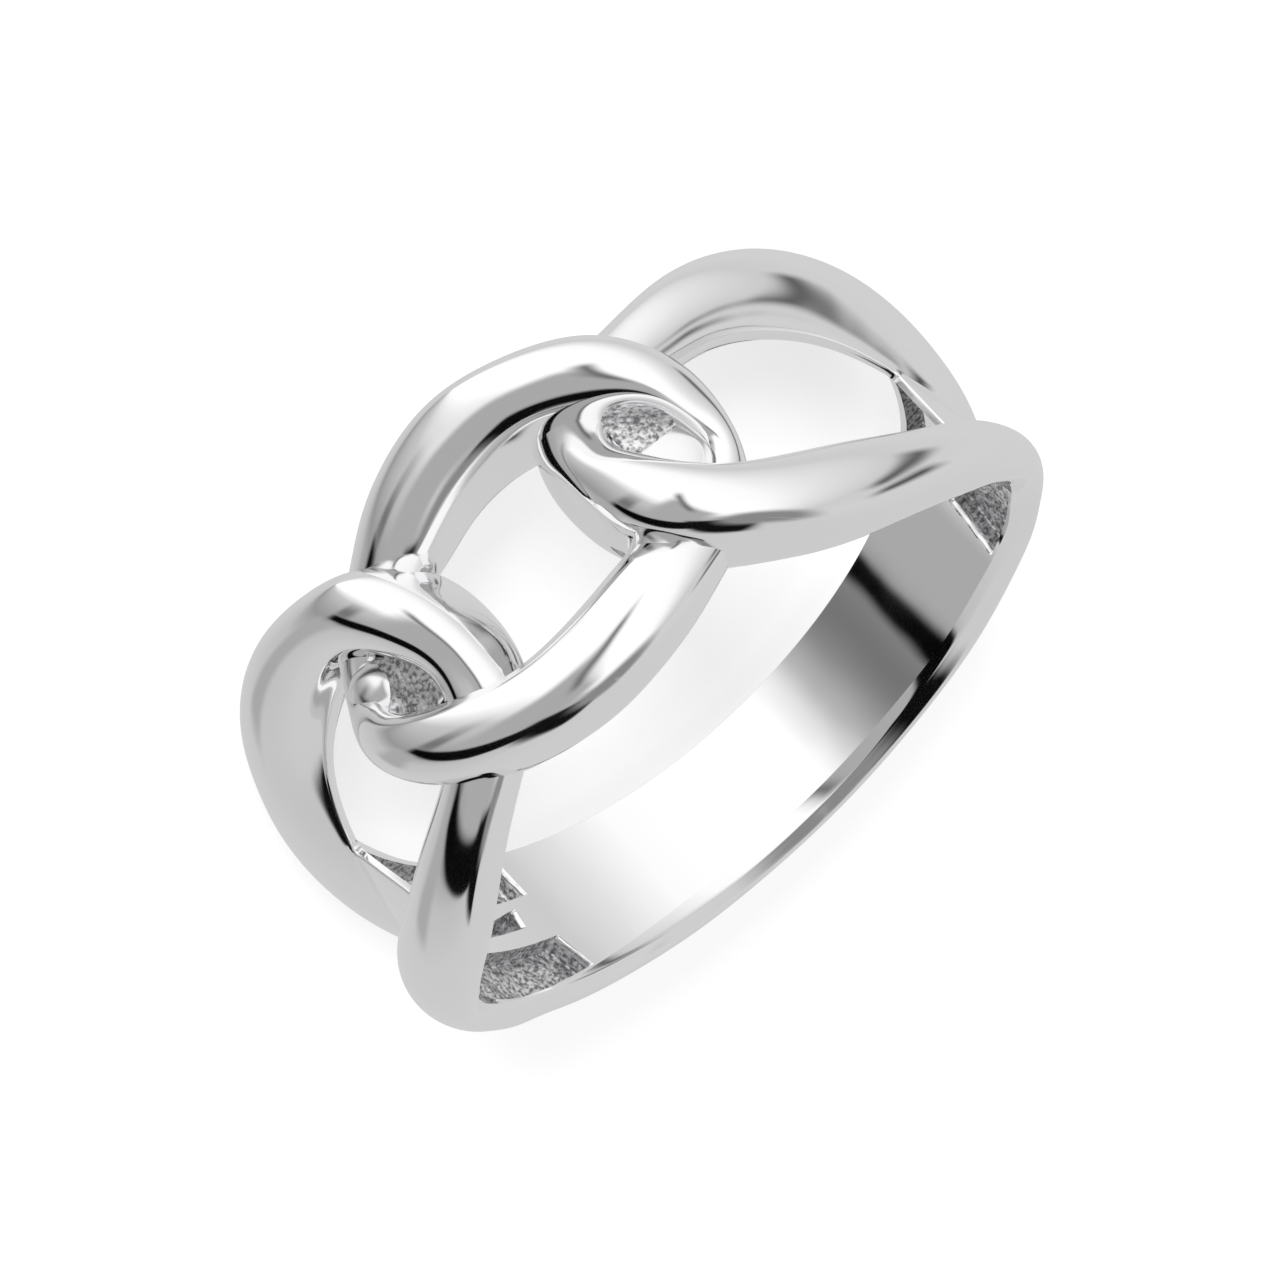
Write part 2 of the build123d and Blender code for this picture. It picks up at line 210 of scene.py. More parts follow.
def dome(start, crown, end, count):
    # points along the circle through three points, both ends included
    (ax, ay), (bx, by), (cx, cy) = start, crown, end
    twice = 2 * (ax * (by - cy) + bx * (cy - ay) + cx * (ay - by))
    aa, bb, cc = ax * ax + ay * ay, bx * bx + by * by, cx * cx + cy * cy
    midX = (aa * (by - cy) + bb * (cy - ay) + cc * (ay - by)) / twice
    midY = (aa * (cx - bx) + bb * (ax - cx) + cc * (bx - ax)) / twice
    reach = math.hypot(ax - midX, ay - midY)
    first = math.atan2(ay - midY, ax - midX)
    last = math.atan2(cy - midY, cx - midX)
    if last > first:
        last -= 2 * math.pi
    turns = [first + (last - first) * i / (count - 1) for i in range(count)]
    return [(midX + reach * math.cos(t), midY + reach * math.sin(t)) for t in turns]


def flank(lean, height, gap):
    # four points up one flank, from deep in the bore to just under the dome
    inset, foot = strandShape["footInset"], strandShape["footHeight"]
    lowShare, highShare = strandShape["flankShares"]
    low = min(foot, lowShare * height)
    high = max(highShare * height, height - gap)
    return [
        (inset + strandShape["coreInset"], -strandShape["coreDepth"]),
        (inset, -strandShape["footSink"]),
        (lean * low / height, low),
        (lean * high / height, high),
    ]


def bandFlank(rim, bulge, height):
    # four points up one side of the band: its bevel runs from the bore's edge out to the rim
    rise, middle = strandShape["rimRise"] * rim, strandShape["rimShare"]
    outShare, upShare = strandShape["bulgeShares"]
    return [
        (strandShape["rimInset"], -strandShape["rimSink"]),
        (-middle * rim, middle * rise),
        (-rim, rise),
        (-rim - outShare * (bulge - rim), rise + upShare * (height - rise)),
    ]


def armRing(row):
    # the points across an arm: inner flank, dome, outer flank
    innerAngle, innerSide, outerAngle, outerSide, innerLean, innerFlank, outerLean, outerFlank, top = row
    width = math.hypot(math.radians(outerAngle - innerAngle) * boreRadius, outerSide - innerSide)
    soft, crisp = strandShape["cornerGap"], strandShape["innerGap"]
    share, less = strandShape["innerSoftness"]
    inner = flank(innerLean, innerFlank, min(soft, max(crisp, share * innerFlank - less)))
    outer = [(width - x, y) for x, y in reversed(flank(outerLean, outerFlank, soft))]
    creases = (innerLean, innerFlank), (width - outerLean, outerFlank)
    crown = ((creases[0][0] + creases[1][0]) / 2, top)
    spots = inner + dome(creases[0], crown, creases[1], strandShape["armDome"]) + outer
    return np.array([
        (innerAngle + (outerAngle - innerAngle) * x / width,
         innerSide + (outerSide - innerSide) * x / width, y)
        for x, y in spots
    ])


def bandRing(row):
    # the points across the band, from its lower foot to its upper foot
    angle, upperHalf, lowerHalf, rim, bulge, lowerBulge, top = row
    height = strandShape["sideHeight"]
    upper = [(upperHalf - x, y) for x, y in reversed(bandFlank(rim, bulge, height))]
    lower = [(x - lowerHalf, y) for x, y in bandFlank(strandShape["plainRim"], lowerBulge, height)]
    edges = -lowerHalf - lowerBulge, upperHalf + bulge
    crown = (edges[0] + edges[1]) / 2, top
    over = dome((edges[0], height), crown, (edges[1], height), strandShape["bandDome"])
    return np.array([(angle, x, y) for x, y in lower + over + upper])


def valleySpots(low, high, valley):
    # points across the valley between the flanks of two arms
    spots = [low + (high - low) * share for share in strandShape["valleyShares"]]
    for spot in spots:
        spot[2] = valley
    return spots


def shoulderRing(upperRow, lowerRow, valley, merged):
    # the outer parts of both arms with the valley between them, merging into the band's dome
    upper, lower = armRing(upperRow), armRing(lowerRow)
    ring = np.vstack([lower[:2:-1], *valleySpots(lower[3], upper[3], valley), upper[3:]])
    upperSide, upperLean, upperTop = upperRow[3], upperRow[6], upperRow[8]
    lowerSide, lowerLean, lowerTop = lowerRow[3], lowerRow[6], lowerRow[8]
    inset, top = strandShape["mergeInset"], (upperTop + lowerTop) / 2 + strandShape["mergeRise"]
    plain = bandRing((0, upperSide - inset, -lowerSide, strandShape["mergeRim"],
                      inset - upperLean, -lowerLean, top))
    plain[:, 0] = ring[:, 0]
    return ring * (1 - merged) + plain * merged


def fairRings(keys, gap, closed=False, first=0, last=None):
    # a smooth curve through each point of the key rings, sampled evenly between two of them
    keys = np.array(keys)
    count = len(keys)
    last = count - 1 if last is None else last
    if closed:
        keys = np.vstack([keys, keys[:1]])
        last = count
    places = np.array([[onRing(*spot) / mm for spot in ring] for ring in keys])
    steps = np.linalg.norm(np.diff(places, axis=0), axis=2).mean(axis=1)
    knots = np.concatenate([[0], np.cumsum(steps)])
    flat = keys.reshape(len(keys), -1)
    size = len(knots)
    system, right = np.zeros((size, size)), np.zeros_like(flat)
    slopes = np.diff(flat, axis=0) / steps[:, None]
    for i in range(1, size - 1):
        system[i, i - 1:i + 2] = steps[i - 1], 2 * (steps[i - 1] + steps[i]), steps[i]
        right[i] = 6 * (slopes[i] - slopes[i - 1])
    if closed:
        system[0, 0], system[0, 1] = 2 * (steps[-1] + steps[0]), steps[0]
        system[0, size - 2] = steps[-1]
        right[0] = 6 * (slopes[0] - slopes[-1])
        system[-1, 0], system[-1, -1] = 1, -1
    else:
        system[0, 0] = system[-1, -1] = 1
    bends = np.linalg.solve(system, right)
    total = knots[last] - knots[first]
    rings = []
    for at in np.linspace(knots[first], knots[last], max(2, round(total / gap)) + 1):
        i = min(max(int(np.searchsorted(knots, at, side="right")) - 1, 0), size - 2)
        h, a, b = steps[i], knots[i + 1] - at, at - knots[i]
        value = (bends[i] * a ** 3 + bends[i + 1] * b ** 3) / (6 * h)
        value += (flat[i] / h - bends[i] * h / 6) * a + (flat[i + 1] / h - bends[i + 1] * h / 6) * b
        rings.append([onRing(*spot) for spot in value.reshape(-1, 3)])
    return rings


def selectNone():
    bpy.ops.object.select_all(action="DESELECT")


def editSelected(piece):
    selectNone()
    piece.select_set(True)
    bpy.context.view_layer.objects.active = piece
    bpy.ops.object.mode_set(mode="EDIT")


def growTube(name, rings):
    # a circle is laid on the first ring and extruded from ring to ring
    selectNone()
    bpy.ops.mesh.primitive_circle_add(vertices=len(rings[0]), radius=mm)
    tube = bpy.context.object
    tube.name = name
    for vertex, spot in zip(tube.data.vertices, rings[0]):
        vertex.co = spot
    editSelected(tube)
    bpy.ops.mesh.select_all(action="SELECT")
    for before, after in zip(rings, rings[1:]):
        bpy.ops.mesh.extrude_region_move()
        mesh = bmesh.from_edit_mesh(tube.data)
        for vertex in mesh.verts:
            if vertex.select:
                nearest = min(range(len(before)), key=lambda k: (before[k] - vertex.co).length)
                vertex.co = after[nearest]
        bmesh.update_edit_mesh(tube.data)
    bpy.ops.mesh.select_all(action="SELECT")
    bpy.ops.mesh.remove_doubles(threshold=strandShape["weldGap"] * mm)
    bpy.ops.object.mode_set(mode="OBJECT")
    return tube


def fillFace(piece, corners):
    # one new face on the vertices at the given corners, which are made where they are missing
    editSelected(piece)
    mesh = bmesh.from_edit_mesh(piece.data)
    found = []
    for corner in corners:
        nearest = min(mesh.verts, key=lambda v: (v.co - corner).length)
        missing = (nearest.co - corner).length > 2 * strandShape["weldGap"] * mm
        found.append(mesh.verts.new(corner) if missing else nearest)
    mesh.faces.new(found)
    bmesh.update_edit_mesh(piece.data)
    bpy.ops.object.mode_set(mode="OBJECT")


def forkFront(piece, upperRow, lowerRow, valley):
    # the front wall of the web between two arms, and its foot in the bore
    upper, lower = armRing(upperRow), armRing(lowerRow)
    shares = (0, *strandShape["valleyShares"], 1)
    levels = [[low + (high - low) * share for share in shares] for low, high in zip(lower[:3], upper[:3])]
    levels.append([lower[3], *valleySpots(lower[3], upper[3], valley), upper[3]])
    grid = [[onRing(*spot) for spot in level] for level in levels]
    for below, above in zip(grid, grid[1:]):
        for i in range(len(below) - 1):
            fillFace(piece, [below[i], below[i + 1], above[i + 1], above[i]])
    fillFace(piece, [onRing(*upper[-1]), *reversed(grid[0]), onRing(*lower[-1])])


def joinPieces(pieces, name):
    selectNone()
    for piece in pieces:
        piece.select_set(True)
    bpy.context.view_layer.objects.active = pieces[0]
    bpy.ops.object.join()
    joined = bpy.context.object
    joined.name = name
    editSelected(joined)
    bpy.ops.mesh.select_all(action="SELECT")
    bpy.ops.mesh.remove_doubles(threshold=strandShape["weldGap"] * mm)
    bpy.ops.object.mode_set(mode="OBJECT")
    return joined


def faceOutwards(piece):
    editSelected(piece)
    bpy.ops.mesh.select_all(action="SELECT")
    bpy.ops.mesh.normals_make_consistent(inside=False)
    bpy.ops.object.mode_set(mode="OBJECT")


def smoothCage(piece):
    modifier = piece.modifiers.new("smooth", "SUBSURF")
    modifier.levels = modifier.render_levels = strandShape["smoothing"]
    bpy.context.view_layer.objects.active = piece
    bpy.ops.object.modifier_apply(modifier=modifier.name)


def hairpin(name, startRows, tipRows, endRows):
    # an end link's strand from fork to fork; two rows past each fork make it run on smoothly
    keys = [armRing(row) for row in (*reversed(startRows[:3]), *tipRows, *endRows[:3])]
    return growTube(name, fairRings(keys, strandShape["ringGap"], first=2, last=len(keys) - 3))


def shoulderKeys(upperRows, lowerRows):
    return [
        shoulderRing(upper, lower, *valley)
        for upper, lower, valley in zip(upperRows, lowerRows, shoulderValleys)
    ]


# End links and band: two hairpins and the band between them, welded where the arms fork
def linkBand():
    left = hairpin("leftLink", leftLowerRows, leftTipRows, leftUpperRows)
    right = hairpin("rightLink", rightUpperRows, rightTipRows, rightLowerRows)
    keys = shoulderKeys(leftUpperRows, leftLowerRows)
    keys += [bandRing(row) for row in bandRows]
    for ring in reversed(shoulderKeys(rightUpperRows, rightLowerRows)):
        ring[:, 0] += 360          # on round the back
        keys.append(ring)
    band = growTube("band", fairRings(keys, strandShape["bandGap"]))
    whole = joinPieces([left, right, band], "linkBand")
    forkFront(whole, leftUpperRows[0], leftLowerRows[0], shoulderValleys[0][0])
    forkFront(whole, rightUpperRows[0], rightLowerRows[0], shoulderValleys[0][0])
    faceOutwards(whole)
    smoothCage(whole)
    print("links and band modelled:", len(whole.data.polygons), "faces")
    return whole


def middleLink():
    keys = [armRing(row) for row in middleRows]
    link = growTube("middleLink", fairRings(keys, strandShape["ringGap"], closed=True))
    faceOutwards(link)
    smoothCage(link)
    print("middle link modelled:", len(link.data.polygons), "faces")
    return link


# Rough cast places: floors between interlocked tips, and the hollows inside the shoulders

# sizes in millimetres
castShape = {
    "cell": 0.09,           # size of the faces on a rough surface
    "lump": 0.050,          # how far broad unevenness moves the surface
    "lumpSize": 0.45,
    "grain": 0.032,         # how far the fine grain moves it
    "grainSize": 0.17,
    "wallShare": 0.22,      # share of that at the edges, which stay straight
    "pocketDepth": 0.52,
    "lip": 0.10,            # polished chamfer at the end of a pocket
    "sunk": 0.45,           # how far the blocks run into the bore
    "edge": 0.001,          # share of a block that counts as its very edge
    "seed": 4,
}
# Rows of a rough block: lower angle, lower side, upper angle, upper side
pitBlocks = [
    [(19.2, -1.00, 19.2, 0.85), (29.5, -1.00, 29.5, 0.85)],
    [(-28.5, -0.95, -28.5, 0.05), (-20.0, -1.15, -20.0, 0.10)],
]
pitTops = [0.90, 1.10]
pocketRows = [
    [(88.0, 1.16, 88.0, 2.90), (104.0, 1.10, 104.0, 2.62), (116.0, 1.04, 116.0, 2.34),
     (123.8, 0.98, 125.6, 2.12)],
    [(98.0, 0.10, 98.0, 0.58), (111.0, 0.20, 111.0, 0.58), (120.0, -0.12, 119.2, 0.50)],
    [(90.0, -2.45, 90.0, -0.60), (106.0, -2.03, 106.0, -0.36), (124.5, -1.60, 124.8, -0.42)],
    [(-91.0, 1.44, -91.0, 2.62), (-106.0, 0.92, -106.0, 2.38), (-117.0, 0.50, -117.0, 2.15),
     (-122.7, 0.28, -125.2, 1.96)],
    [(-101.0, 0.06, -101.0, 0.52), (-110.0, -0.14, -110.0, 0.29), (-119.0, -0.29, -119.0, 0.00)],
    [(-94.0, -2.30, -94.0, -0.72), (-105.0, -1.72, -105.0, -0.75), (-114.0, -1.50, -114.0, -0.72),
     (-125.0, -1.38, -125.0, -0.69)],
]
domeShape = {
    "sides": 64,
    "rings": 32,
}
# Dull domes that fill out the pits: angle, side, height, and reach round, along and out of the ring
tipDomes = [
    (29.2, -0.80, 0.44, 0.86, 0.80, 0.78),
    (24.5, -0.10, 0.00, 1.60, 1.50, 0.80),
    (-24.2, -0.20, 0.20, 1.80, 1.70, 0.84),
]


def selectAlong(piece, axis):
    # edges that run along one axis of a plain block
    mesh = bmesh.from_edit_mesh(piece.data)
    for edge in mesh.edges:
        run = edge.verts[1].co - edge.verts[0].co
        edge.select_set(abs(run[axis]) > 0.9 * run.length)
    bmesh.update_edit_mesh(piece.data)


def castBlock(name, rows, top, lip=0.0):
    # a block cut into small cells, bent round the bore and roughened
    first, last = rows[0], rows[-1]
    length = math.radians(abs(last[0] - first[0])) * boreRadius
    width = max(high - low for _, low, _, high in rows)
    sunk, hair = castShape["sunk"], castShape["edge"]
    selectNone()
    bpy.ops.mesh.primitive_cube_add(size=1)
    block = bpy.context.object
    block.name = name
    noise.seed_set(castShape["seed"])
    editSelected(block)
    bpy.ops.mesh.select_mode(type="EDGE")
    for axis, size in enumerate((length, width, top + sunk)):
        selectAlong(block, axis)
        bpy.ops.mesh.subdivide(number_cuts=max(1, round(size / castShape["cell"]) - 1))
    bpy.ops.mesh.select_mode(type="VERT")
    bpy.ops.object.mode_set(mode="OBJECT")
    smooth = set()
    for vertex in block.data.vertices:
        along, across, up = (part + 0.5 for part in vertex.co)
        height = -sunk + (top + sunk) * up
        place = along * (len(rows) - 1)
        i = min(int(place), len(rows) - 2)
        lowAngle, low, highAngle, high = (a + (b - a) * (place - i) for a, b in zip(rows[i], rows[i + 1]))
        angle = lowAngle + (highAngle - lowAngle) * across
        if along > 1 - hair and lip and height < lip:
            angle += math.copysign(math.degrees((lip - height) / boreRadius), angle)
        spot = onRing(angle, low + (high - low) * across, height)
        onEdge = min(along, 1 - along, across, 1 - across) < hair
        share = castShape["wallShare"] if onEdge else 1.0
        broad = noise.noise_vector(spot / mm / castShape["lumpSize"]) * castShape["lump"]
        fine = noise.noise_vector(spot / mm / castShape["grainSize"]) * castShape["grain"]
        vertex.co = spot + (broad + fine) * share * mm
        if along > 1 - hair and height < lip + castShape["cell"]:
            smooth.add(vertex.index)
    for face in block.data.polygons:
        face.material_index = polished if lip and smooth.issuperset(face.vertices) else cast
    faceOutwards(block)
    return block


def pitFloors():
    return [castBlock("pitFloor", rows, top) for rows, top in zip(pitBlocks, pitTops)]


def pocketBlocks():
    return [castBlock("pocket", rows, castShape["pocketDepth"], castShape["lip"]) for rows in pocketRows]


def tipDome(angle, side, height, reachAround, reachAlong, reachOut):
    # an ellipsoid that lies along the ring's surface
    selectNone()
    bpy.ops.mesh.primitive_uv_sphere_add(
        segments=domeShape["sides"], ring_count=domeShape["rings"], radius=1)
    piece = bpy.context.object
    piece.name = "tipDome"
    turn = Matrix.Rotation(math.radians(angle), 4, "Z")
    size = Matrix.Diagonal((reachAround * mm, reachOut * mm, reachAlong * mm, 1))
    piece.data.transform(Matrix.Translation(onRing(angle, side, height)) @ ringTurn.to_4x4() @ turn @ size)
    for face in piece.data.polygons:
        face.material_index = satin
    return piece


# One casting: the links, domes and pit floors are fused, then the bore and the hollows are cut

boreShape = {
    "sides": 512,
    "length": 14.0,
    "tolerance": 0.0006,     # a face this near to the bore's radius belongs to it
}


def surfaceOf(piece, side=1):
    # a piece's own smooth surface, from which the fused ring takes its shading
    mesh = piece.data
    spots = [vertex.co.copy() for vertex in mesh.vertices]
    faces = [tuple(face.vertices) for face in mesh.polygons]
    return {
        "spots": spots,
        "faces": faces,
        "normals": [vertex.normal * side for vertex in mesh.vertices],
        "tree": BVHTree.FromPolygons(spots, faces),
        "finishes": [face.material_index for face in mesh.polygons],
    }


def combine(piece, tool, operation):
    modifier = piece.modifiers.new("combine", "BOOLEAN")
    modifier.operation = operation
    modifier.solver = "MANIFOLD"
    modifier.object = tool
    bpy.context.view_layer.objects.active = piece
    bpy.ops.object.modifier_apply(modifier=modifier.name)
    bpy.data.objects.remove(tool)


def boreCutter():
    selectNone()
    bpy.ops.mesh.primitive_cylinder_add(
        vertices=boreShape["sides"], radius=boreRadius * mm, depth=boreShape["length"] * mm)
    cutter = bpy.context.object
    cutter.data.transform(ringPlace)
    return cutter


def normalAt(surface, spot):
    # the smooth normal of a surface at the place nearest to a spot
    near, flat, index, distance = surface["tree"].find_nearest(spot)
    corners = surface["faces"][index]
    weights = poly_3d_calc([surface["spots"][c] for c in corners], near)
    total = Vector()
    for corner, weight in zip(corners, weights):
        total += surface["normals"][corner] * weight
    return total.normalized()


def finishSurface(ring, surfaces):
    # each face takes the shading and the finish of the surface that it was cut from
    mesh = ring.data
    toRing = ringPlace.inverted()
    turnOut = ringPlace.to_3x3()
    normals = [None] * len(mesh.loops)
    known = {}
    for face in mesh.polygons:
        face.use_smooth = True
        local = toRing @ face.center
        offBore = abs(math.hypot(local.x, local.y) / mm - boreRadius)
        if offBore < boreShape["tolerance"]:
            chosen = None
            face.material_index = polished
        else:
            chosen = min(range(len(surfaces)), key=lambda k: surfaces[k]["tree"].find_nearest(face.center)[3])
            nearest = surfaces[chosen]["tree"].find_nearest(face.center)[2]
            face.material_index = surfaces[chosen]["finishes"][nearest]
        for loop in face.loop_indices:
            vertex = mesh.loops[loop].vertex_index
            if (vertex, chosen) not in known:
                spot = mesh.vertices[vertex].co
                if chosen is None:
                    inwards = toRing @ spot
                    known[vertex, chosen] = turnOut @ Vector((-inwards.x, -inwards.y, 0)).normalized()
                else:
                    known[vertex, chosen] = normalAt(surfaces[chosen], spot)
            normals[loop] = known[vertex, chosen]
    mesh.normals_split_custom_set(normals)


def castRing():
    ring, middle = linkBand(), middleLink()
    surfaces = [surfaceOf(ring), surfaceOf(middle)]
    combine(ring, middle, "UNION")
    for row in tipDomes:
        piece = tipDome(*row)
        surfaces.append(surfaceOf(piece))
        combine(ring, piece, "UNION")
    for floor in pitFloors():
        surfaces.append(surfaceOf(floor))
        combine(ring, floor, "UNION")
    combine(ring, boreCutter(), "DIFFERENCE")
    for block in pocketBlocks():
        surfaces.append(surfaceOf(block, -1))
        combine(ring, block, "DIFFERENCE")
    print("links, floors, bore and hollows combined:", len(ring.data.polygons), "faces")
    ring.name = "silverRing"
    ring.data.materials.clear()
    ring.data.materials.append(smoothSilver("polishedSilver", silverFinish))
    ring.data.materials.append(castSilver())
    ring.data.materials.append(smoothSilver("satinSilver", satinFinish))
    finishSurface(ring, surfaces)
    print("ring shaded")
    return ring


# Finishes

silverFinish = {
    "colour": (0.93, 0.93, 0.935, 1),
    "roughLow": 0.045,       # the polish is not quite even
    "roughHigh": 0.085,
    "wanderScale": 0.35,     # size of the uneven patches, per millimetre
    "wave": 0.02,            # soft hand-polished waviness
    "waveScale": 0.55,
}
satinFinish = {
    "colour": (0.93, 0.93, 0.935, 1),
    "roughLow": 0.22,        # the polish is dull down in the pits
    "roughHigh": 0.28,
    "wanderScale": 0.35,
    "wave": 0.02,
    "waveScale": 0.55,
}
castFinish = {
    "pale": (0.94, 0.94, 0.945, 1),
    "deep": (0.26, 0.26, 0.27, 1),
    "roughLow": 0.30,
    "roughHigh": 0.48,
    "grainScale": 9.0,       # grains per millimetre
    "grainBump": 0.35,
    "grainDepth": 0.05,      # millimetres
    "deepBelow": 0.38,       # the noise is deep below this
    "paleAbove": 0.58,       # and pale above this
}


def newMaterial(name):
    material = bpy.data.materials.new(name)
    material.use_nodes = True
    nodes, links = material.node_tree.nodes, material.node_tree.links
    shader = nodes["Principled BSDF"]
    shader.inputs["Metallic"].default_value = 1.0
    # object coordinates are metres, and patterns are set in millimetres
    place = nodes.new("ShaderNodeTexCoord")
    scale = nodes.new("ShaderNodeMapping")
    scale.inputs["Scale"].default_value = (1 / mm, 1 / mm, 1 / mm)
    links.new(place.outputs["Object"], scale.inputs["Vector"])
    return material, nodes, links, shader, scale.outputs["Vector"]


def noiseNode(nodes, links, vector, scale, detail):
    node = nodes.new("ShaderNodeTexNoise")
    node.inputs["Scale"].default_value = scale
    node.inputs["Detail"].default_value = detail
    links.new(vector, node.inputs["Vector"])
    return node.outputs["Fac"]


def rangeNode(nodes, links, value, low, high, fromLow=0.3, fromHigh=0.7):
    # a noise lies mostly between the two default values
    node = nodes.new("ShaderNodeMapRange")
    node.inputs["From Min"].default_value = fromLow
    node.inputs["From Max"].default_value = fromHigh
    node.inputs["To Min"].default_value = low
    node.inputs["To Max"].default_value = high
    links.new(value, node.inputs["Value"])
    return node.outputs["Result"]


def bumpNode(nodes, links, height, strength, distance):
    node = nodes.new("ShaderNodeBump")
    node.inputs["Strength"].default_value = strength
    node.inputs["Distance"].default_value = distance * mm
    links.new(height, node.inputs["Height"])
    return node


def smoothSilver(name, look):
    material, nodes, links, shader, vector = newMaterial(name)
    shader.inputs["Base Color"].default_value = look["colour"]
    patches = noiseNode(nodes, links, vector, look["wanderScale"], detail=3)
    rough = rangeNode(nodes, links, patches, look["roughLow"], look["roughHigh"])
    links.new(rough, shader.inputs["Roughness"])
    waves = noiseNode(nodes, links, vector, look["waveScale"], detail=1)
    bump = bumpNode(nodes, links, waves, strength=1.0, distance=look["wave"])
    links.new(bump.outputs["Normal"], shader.inputs["Normal"])
    return material


def castSilver():
    look = castFinish
    material, nodes, links, shader, vector = newMaterial("castSilver")
    grain = noiseNode(nodes, links, vector, look["grainScale"], detail=4)
    ramp = nodes.new("ShaderNodeValToRGB")
    ends = (look["deepBelow"], look["deep"]), (look["paleAbove"], look["pale"])
    for stop, (at, colour) in zip(ramp.color_ramp.elements, ends):
        stop.position = at
        stop.color = colour
    links.new(grain, ramp.inputs["Fac"])
    links.new(ramp.outputs["Color"], shader.inputs["Base Color"])
    rough = rangeNode(nodes, links, grain, look["roughHigh"], look["roughLow"])
    links.new(rough, shader.inputs["Roughness"])
    bump = bumpNode(nodes, links, grain, look["grainBump"], look["grainDepth"])
    links.new(bump.outputs["Normal"], shader.inputs["Normal"])
    return material


# Floor, light and camera

studio = {
    "floorSize": 1.6,        # metres
    "floorColour": (0.42, 0.42, 0.42, 1),
    "floorRough": 0.9,
    "floorSheen": 0.1,
    "floorGlow": 0.56,       # the floor is lit from below, so the ring hardly shades it
    "surround": 0.93,        # plain pale light from all round, for all but the reflections
    "keySize": 0.12,         # metres
    "keyPower": 3.6,
    "keyPlace": (-0.10, -0.45, 0.17),
    "silverShine": 0.93,     # how much of a tone the silver gives back
}
# What the silver reflects: a soft tent, toned by the angle in degrees from straight in front
# towards +X
# angle, tone from 0 to 255
tentTones = [
    (-180, 203), (-130, 208), (-95, 203), (-76, 224), (-55, 252), (-30, 258), (6, 256),
    (22, 196), (45, 170), (64, 150), (86, 190), (120, 200), (180, 203),
]
# and cards in it, in degrees: left and right edge at the foot, left and right edge at the top,
# foot, top, softness of the sides, softness of the ends, tone
tentCards = [
    (-8, 60, 0, 60, 10, 66, 7, 8, 168),            # grey wall beside the camera
    (62, 70, 65, 75, -26, 10, 3, 6, 136),          # grey card beside the tall flag
    (66, 108, 66, 108, -36, -12, 6, 6, 168),       # low pale wall
    (-21, -13, 3, 10, 4, 46, 5, 7, 100),           # camera and its stand
    (28, 60, 28, 60, -24, -8, 16, 5, 116),         # low dark wall
    (55, 64, 55, 90, -24, 62, 2.5, 5, 6),          # tall black flag
    (48, 140, 48, 140, 52, 78, 6, 5, 10),          # black flag overhead
    (-180, 180, -180, 180, 74, 100, 6, 7, 135),    # dim ceiling
    (-126, -116, -126, -116, 18, 46, 6, 7, 70),    # dark card behind
    (-111, -102, -109, -99, -12, 38, 5, 7, 96),    # grey card behind
]

photoView = {
    "target": (0.149, -0.324, -0.676),     # millimetres from the middle of the finger hole
    "distance": 120.0,                     # millimetres
    "azimuth": 5.594,                      # degrees, seen along the ring
    "elevation": 24.477,                   # degrees above the ring's plane
    "roll": -137.056,                      # degrees; the photo shows the ring stood on its head
    "lens": 142.1,
    "sensor": 36.0,
    "nearest": 0.001,                      # metres
}


def paleFloor():
    selectNone()
    bpy.ops.mesh.primitive_plane_add(size=studio["floorSize"])
    floor = bpy.context.object
    floor.name = "floor"
    material = bpy.data.materials.new("paleFloor")
    material.use_nodes = True
    shader = material.node_tree.nodes["Principled BSDF"]
    shader.inputs["Base Color"].default_value = studio["floorColour"]
    shader.inputs["Roughness"].default_value = studio["floorRough"]
    shader.inputs["Specular IOR Level"].default_value = studio["floorSheen"]
    shader.inputs["Emission Color"].default_value = (1, 1, 1, 1)
    shader.inputs["Emission Strength"].default_value = studio["floorGlow"]
    floor.data.materials.append(material)
    floor.visible_glossy = False         # the silver reflects the tent alone
    print("floor laid")


def photoCamera():
    look = photoView
    azimuth, elevation, roll = (math.radians(look[key]) for key in ("azimuth", "elevation", "roll"))
    forward = Vector((
        math.sin(azimuth) * math.cos(elevation),
        math.cos(azimuth) * math.cos(elevation),
        -math.sin(elevation),
    ))
    level = forward.cross(Vector((0, 0, 1))).normalized()
    upright = level.cross(forward)
    right = level * math.cos(roll) - upright * math.sin(roll)
    up = upright * math.cos(roll) + level * math.sin(roll)
    turn = ringTurn @ Matrix((right, up, -forward)).transposed()
    position = ringPlace @ ((Vector(look["target"]) - forward * look["distance"]) * mm)
    data = bpy.data.cameras.new("photoCamera")
    data.lens = look["lens"]
    data.sensor_width = look["sensor"]
    data.clip_start = look["nearest"]
    camera = bpy.data.objects.new("photoCamera", data)
    camera.matrix_world = Matrix.Translation(position) @ turn.to_4x4()
    bpy.context.scene.collection.objects.link(camera)
    bpy.context.scene.camera = camera
    print("camera set")


def linearTone(tone):
    # light that the silver shows as a tone from 0 to 255
    part = tone / 255
    linear = part / 12.92 if part <= 0.04045 else ((part + 0.055) / 1.055) ** 2.4
    return linear / studio["silverShine"]


def mathNode(nodes, links, operation, first, second=None):
    node = nodes.new("ShaderNodeMath")
    node.operation = operation
    for socket, value in zip(node.inputs, (first, second)):
        if isinstance(value, (int, float)):
            socket.default_value = value
        elif value is not None:
            links.new(value, socket)
    return node.outputs["Value"]


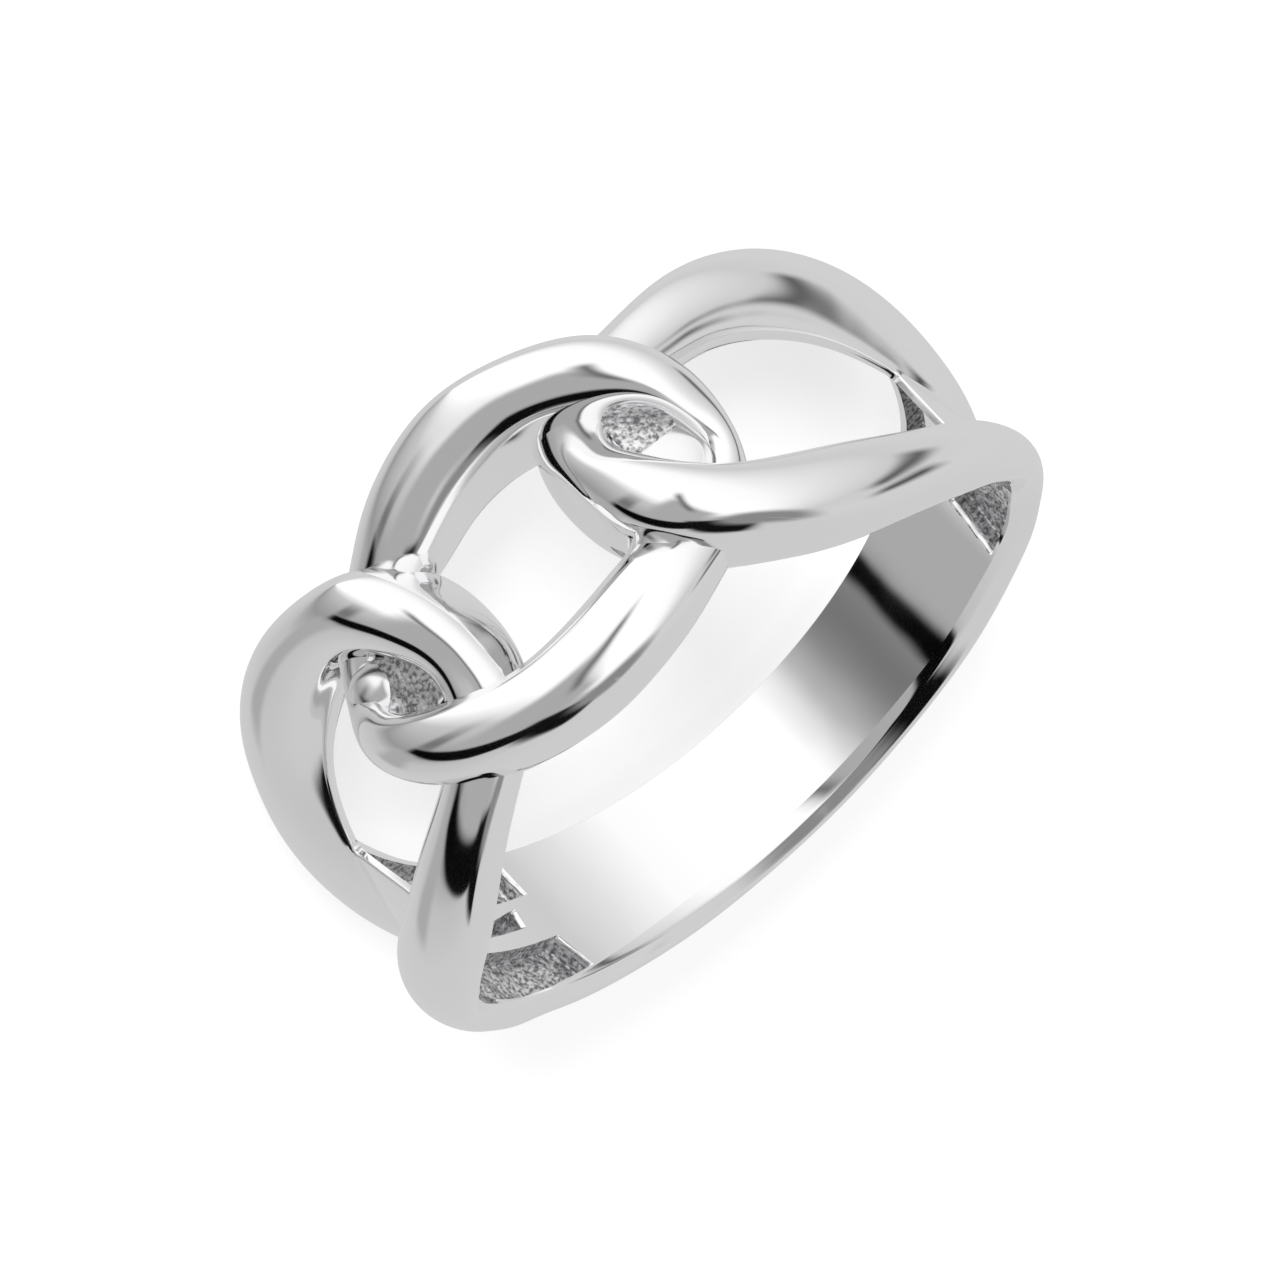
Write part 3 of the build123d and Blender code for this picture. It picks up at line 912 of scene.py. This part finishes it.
def edgeNode(nodes, links, inside, softness):
    # 0 outside an edge, 1 inside it
    node = nodes.new("ShaderNodeMapRange")
    node.interpolation_type = "SMOOTHSTEP"
    node.inputs["From Min"].default_value = -softness
    node.inputs["From Max"].default_value = softness
    links.new(inside, node.inputs["Value"])
    return node.outputs["Result"]


def slantNode(nodes, links, rise, foot, top, atFoot, atTop):
    node = nodes.new("ShaderNodeMapRange")
    node.clamp = False
    for name, value in zip(("From Min", "From Max", "To Min", "To Max"), (foot, top, atFoot, atTop)):
        node.inputs[name].default_value = value
    links.new(rise, node.inputs["Value"])
    return node.outputs["Result"]


def studioTent():
    world = bpy.data.worlds.new("studioTent")
    bpy.context.scene.world = world
    world.use_nodes = True
    nodes, links = world.node_tree.nodes, world.node_tree.links
    place = nodes.new("ShaderNodeTexCoord")
    parts = nodes.new("ShaderNodeSeparateXYZ")
    links.new(place.outputs["Generated"], parts.inputs["Vector"])
    ahead = mathNode(nodes, links, "MULTIPLY", parts.outputs["Y"], -1.0)
    turn = mathNode(nodes, links, "ARCTAN2", parts.outputs["X"], ahead)
    angle = mathNode(nodes, links, "MULTIPLY", turn, math.degrees(1))
    rise = mathNode(nodes, links, "ARCSINE", parts.outputs["Z"])
    rise = mathNode(nodes, links, "MULTIPLY", rise, math.degrees(1))
    share = slantNode(nodes, links, angle, -180, 180, 0, 1)
    ramp = nodes.new("ShaderNodeValToRGB")
    links.new(share, ramp.inputs["Fac"])
    stops = ramp.color_ramp.elements
    while len(stops) < len(tentTones):
        stops.new(0.5)
    for stop, (at, tone) in zip(stops, tentTones):
        stop.position = (at + 180) / 360
        stop.color = (*[linearTone(tone)] * 3, 1)
    light = ramp.outputs["Color"]
    for footLeft, footRight, topLeft, topRight, foot, top, softSides, softEnds, tone in tentCards:
        left = slantNode(nodes, links, rise, foot, top, footLeft, topLeft)
        right = slantNode(nodes, links, rise, foot, top, footRight, topRight)
        mask = edgeNode(nodes, links, mathNode(nodes, links, "SUBTRACT", angle, left), softSides)
        for inside, softness in (
            (mathNode(nodes, links, "SUBTRACT", right, angle), softSides),
            (mathNode(nodes, links, "SUBTRACT", rise, foot), softEnds),
            (mathNode(nodes, links, "SUBTRACT", top, rise), softEnds),
        ):
            mask = mathNode(nodes, links, "MULTIPLY", mask, edgeNode(nodes, links, inside, softness))
        card = nodes.new("ShaderNodeMix")
        card.data_type = "RGBA"
        links.new(mask, card.inputs["Factor"])
        links.new(light, card.inputs["A"])
        card.inputs["B"].default_value = (*[linearTone(tone)] * 3, 1)
        light = card.outputs["Result"]
    rays = nodes.new("ShaderNodeLightPath")
    seen = nodes.new("ShaderNodeMix")
    seen.data_type = "RGBA"
    seen.inputs["A"].default_value = (*[studio["surround"]] * 3, 1)
    links.new(rays.outputs["Is Glossy Ray"], seen.inputs["Factor"])
    links.new(light, seen.inputs["B"])
    links.new(seen.outputs["Result"], nodes["Background"].inputs["Color"])


def keyLight():
    data = bpy.data.lights.new("key", "AREA")
    data.size = studio["keySize"]
    data.energy = studio["keyPower"]
    light = bpy.data.objects.new("key", data)
    light.location = studio["keyPlace"]
    light.rotation_euler = (-light.location).to_track_quat("-Z", "Y").to_euler()
    light.visible_glossy = False
    bpy.context.scene.collection.objects.link(light)
    bpy.context.scene.view_settings.view_transform = "Standard"
    print("tent and light set")


ring = castRing()
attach(ring, "root")
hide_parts("chain_link_ring")
paleFloor()
photoCamera()
studioTent()
keyLight()
